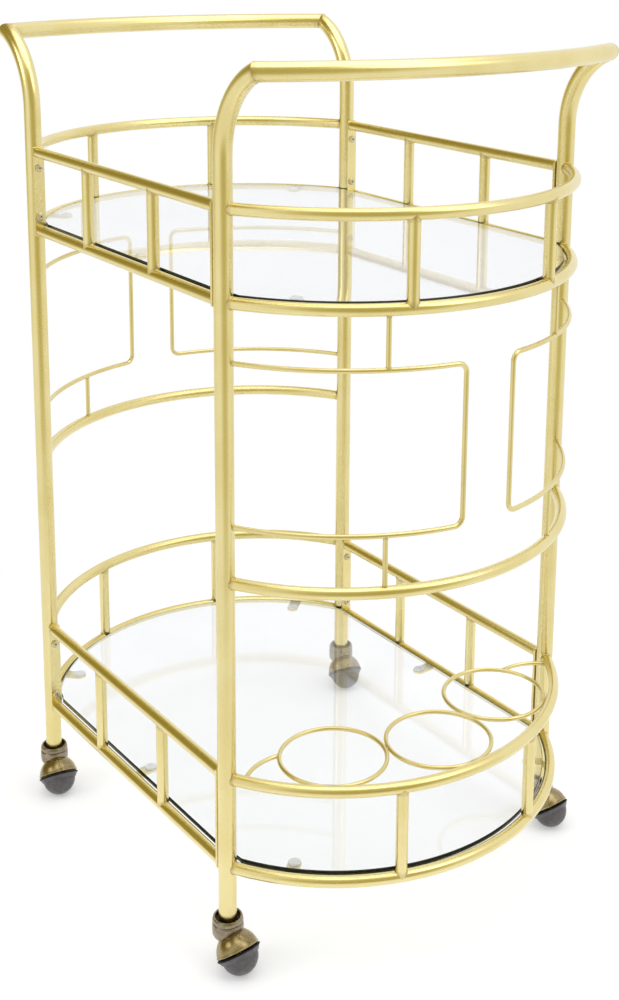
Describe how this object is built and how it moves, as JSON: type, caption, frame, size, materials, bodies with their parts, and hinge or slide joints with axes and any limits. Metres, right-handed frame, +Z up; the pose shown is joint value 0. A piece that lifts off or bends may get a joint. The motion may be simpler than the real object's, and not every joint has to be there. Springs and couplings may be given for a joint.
{
  "type": "bar cart",
  "caption": "Bar cart with bowed tube ends, gallery rails, clear glass shelves, wire loops, a rack of bottle rings, raised push handles and swivelling hooded ball casters.",
  "frame": {"origin": "on the floor, midway between the four posts, with the cart standing on its casters", "axes": "+X towards the end with the bottle rings, +Y across the cart, +Z up"},
  "size_m": [0.6578, 0.4697, 0.897],
  "materials": {
    "gold_tube": "satin champagne gold",
    "gold_wire": "satin champagne gold on drawn wire",
    "clear_glass": "clear float glass with ground edges",
    "clear_pad": "clear soft plastic",
    "antique_brass": "antique brass plating, semi-gloss",
    "wheel_rubber": "grey rubber with a black rim",
    "plain_steel": "turned steel",
    "screw_steel": "brass-plated steel",
    "insert_plastic": "black moulded plastic"
  },
  "bodies": {
    "frame": {"bottle_ring_back": "gold_wire", "bottle_ring_front": "gold_wire", "bottle_ring_middle": "gold_wire", "bow_rail_lower_gallery_left": "gold_tube", "bow_rail_lower_gallery_right": "gold_tube", "bow_rail_lower_shelf_left": "gold_tube", "bow_rail_lower_shelf_right": "gold_tube", "bow_rail_middle_left": "gold_tube", "bow_rail_middle_right": "gold_tube", "bow_rail_upper_gallery_left": "gold_tube", "bow_rail_upper_gallery_right": "gold_tube", "bow_rail_upper_shelf_left": "gold_tube", "bow_rail_upper_shelf_right": "gold_tube", "caster_stems": "plain_steel", "end_balusters_left": "gold_tube", "end_balusters_right": "gold_tube", "end_straps_back": "gold_tube", "end_straps_front": "gold_tube", "glass_pads_lower": "clear_pad", "glass_pads_upper": "clear_pad", "glass_shelf_lower": "clear_glass", "glass_shelf_upper": "clear_glass", "glass_tabs_lower": "gold_tube", "glass_tabs_upper": "gold_tube", "handle_left": "gold_tube", "handle_right": "gold_tube", "loop_stubs_left": "gold_wire", "loop_stubs_right": "gold_wire", "panel_screws": "screw_steel", "post_left_back": "gold_tube", "post_left_front": "gold_tube", "post_right_back": "gold_tube", "post_right_front": "gold_tube", "rack_end_wires": "gold_wire", "side_balusters_back": "gold_tube", "side_balusters_front": "gold_tube", "side_rail_lower_gallery_back": "gold_tube", "side_rail_lower_gallery_front": "gold_tube", "side_rail_lower_shelf_back": "gold_tube", "side_rail_lower_shelf_front": "gold_tube", "side_rail_upper_gallery_back": "gold_tube", "side_rail_upper_gallery_front": "gold_tube", "side_rail_upper_shelf_back": "gold_tube", "side_rail_upper_shelf_front": "gold_tube", "socket_inserts": "insert_plastic", "wire_loops_left": "gold_wire", "wire_loops_right": "gold_wire"},
    "caster_swivel_left_front": {"caster_hood_left_front": "antique_brass", "caster_axle_left_front": "plain_steel"},
    "caster_wheel_left_front": {"caster_wheel_left_front": "wheel_rubber"},
    "caster_swivel_right_front": {"caster_hood_right_front": "antique_brass", "caster_axle_right_front": "plain_steel"},
    "caster_wheel_right_front": {"caster_wheel_right_front": "wheel_rubber"},
    "caster_swivel_left_back": {"caster_hood_left_back": "antique_brass", "caster_axle_left_back": "plain_steel"},
    "caster_wheel_left_back": {"caster_wheel_left_back": "wheel_rubber"},
    "caster_swivel_right_back": {"caster_hood_right_back": "antique_brass", "caster_axle_right_back": "plain_steel"},
    "caster_wheel_right_back": {"caster_wheel_right_back": "wheel_rubber"}
  },
  "joints": [
    {"name": "swivel_left_front", "type": "hinge", "parent": "frame", "child": "caster_swivel_left_front", "pos_m": [-0.195, -0.21, 0.046], "axis": [0, 0, 1], "continuous": true},
    {"name": "wheel_spin_left_front", "type": "hinge", "parent": "caster_swivel_left_front", "child": "caster_wheel_left_front", "pos_m": [-0.17927, -0.21292, 0.02169], "axis": [0.5917, -0.1097, -0.7986], "continuous": true},
    {"name": "swivel_right_front", "type": "hinge", "parent": "frame", "child": "caster_swivel_right_front", "pos_m": [0.195, -0.21, 0.046], "axis": [0, 0, 1], "continuous": true},
    {"name": "wheel_spin_right_front", "type": "hinge", "parent": "caster_swivel_right_front", "child": "caster_wheel_right_front", "pos_m": [0.2109, -0.20819, 0.02169], "axis": [0.5979, 0.0681, -0.7986], "continuous": true},
    {"name": "swivel_left_back", "type": "hinge", "parent": "frame", "child": "caster_swivel_left_back", "pos_m": [-0.195, 0.21, 0.046], "axis": [0, 0, 1], "continuous": true},
    {"name": "wheel_spin_left_back", "type": "hinge", "parent": "caster_swivel_left_back", "child": "caster_wheel_left_back", "pos_m": [-0.17962, 0.20559, 0.02169], "axis": [0.5785, -0.1659, -0.7986], "continuous": true},
    {"name": "swivel_right_back", "type": "hinge", "parent": "frame", "child": "caster_swivel_right_back", "pos_m": [0.195, 0.21, 0.046], "axis": [0, 0, 1], "continuous": true},
    {"name": "wheel_spin_right_back", "type": "hinge", "parent": "caster_swivel_right_back", "child": "caster_wheel_right_back", "pos_m": [0.21094, 0.21139, 0.02169], "axis": [0.5995, 0.0525, -0.7986], "continuous": true}
  ]
}
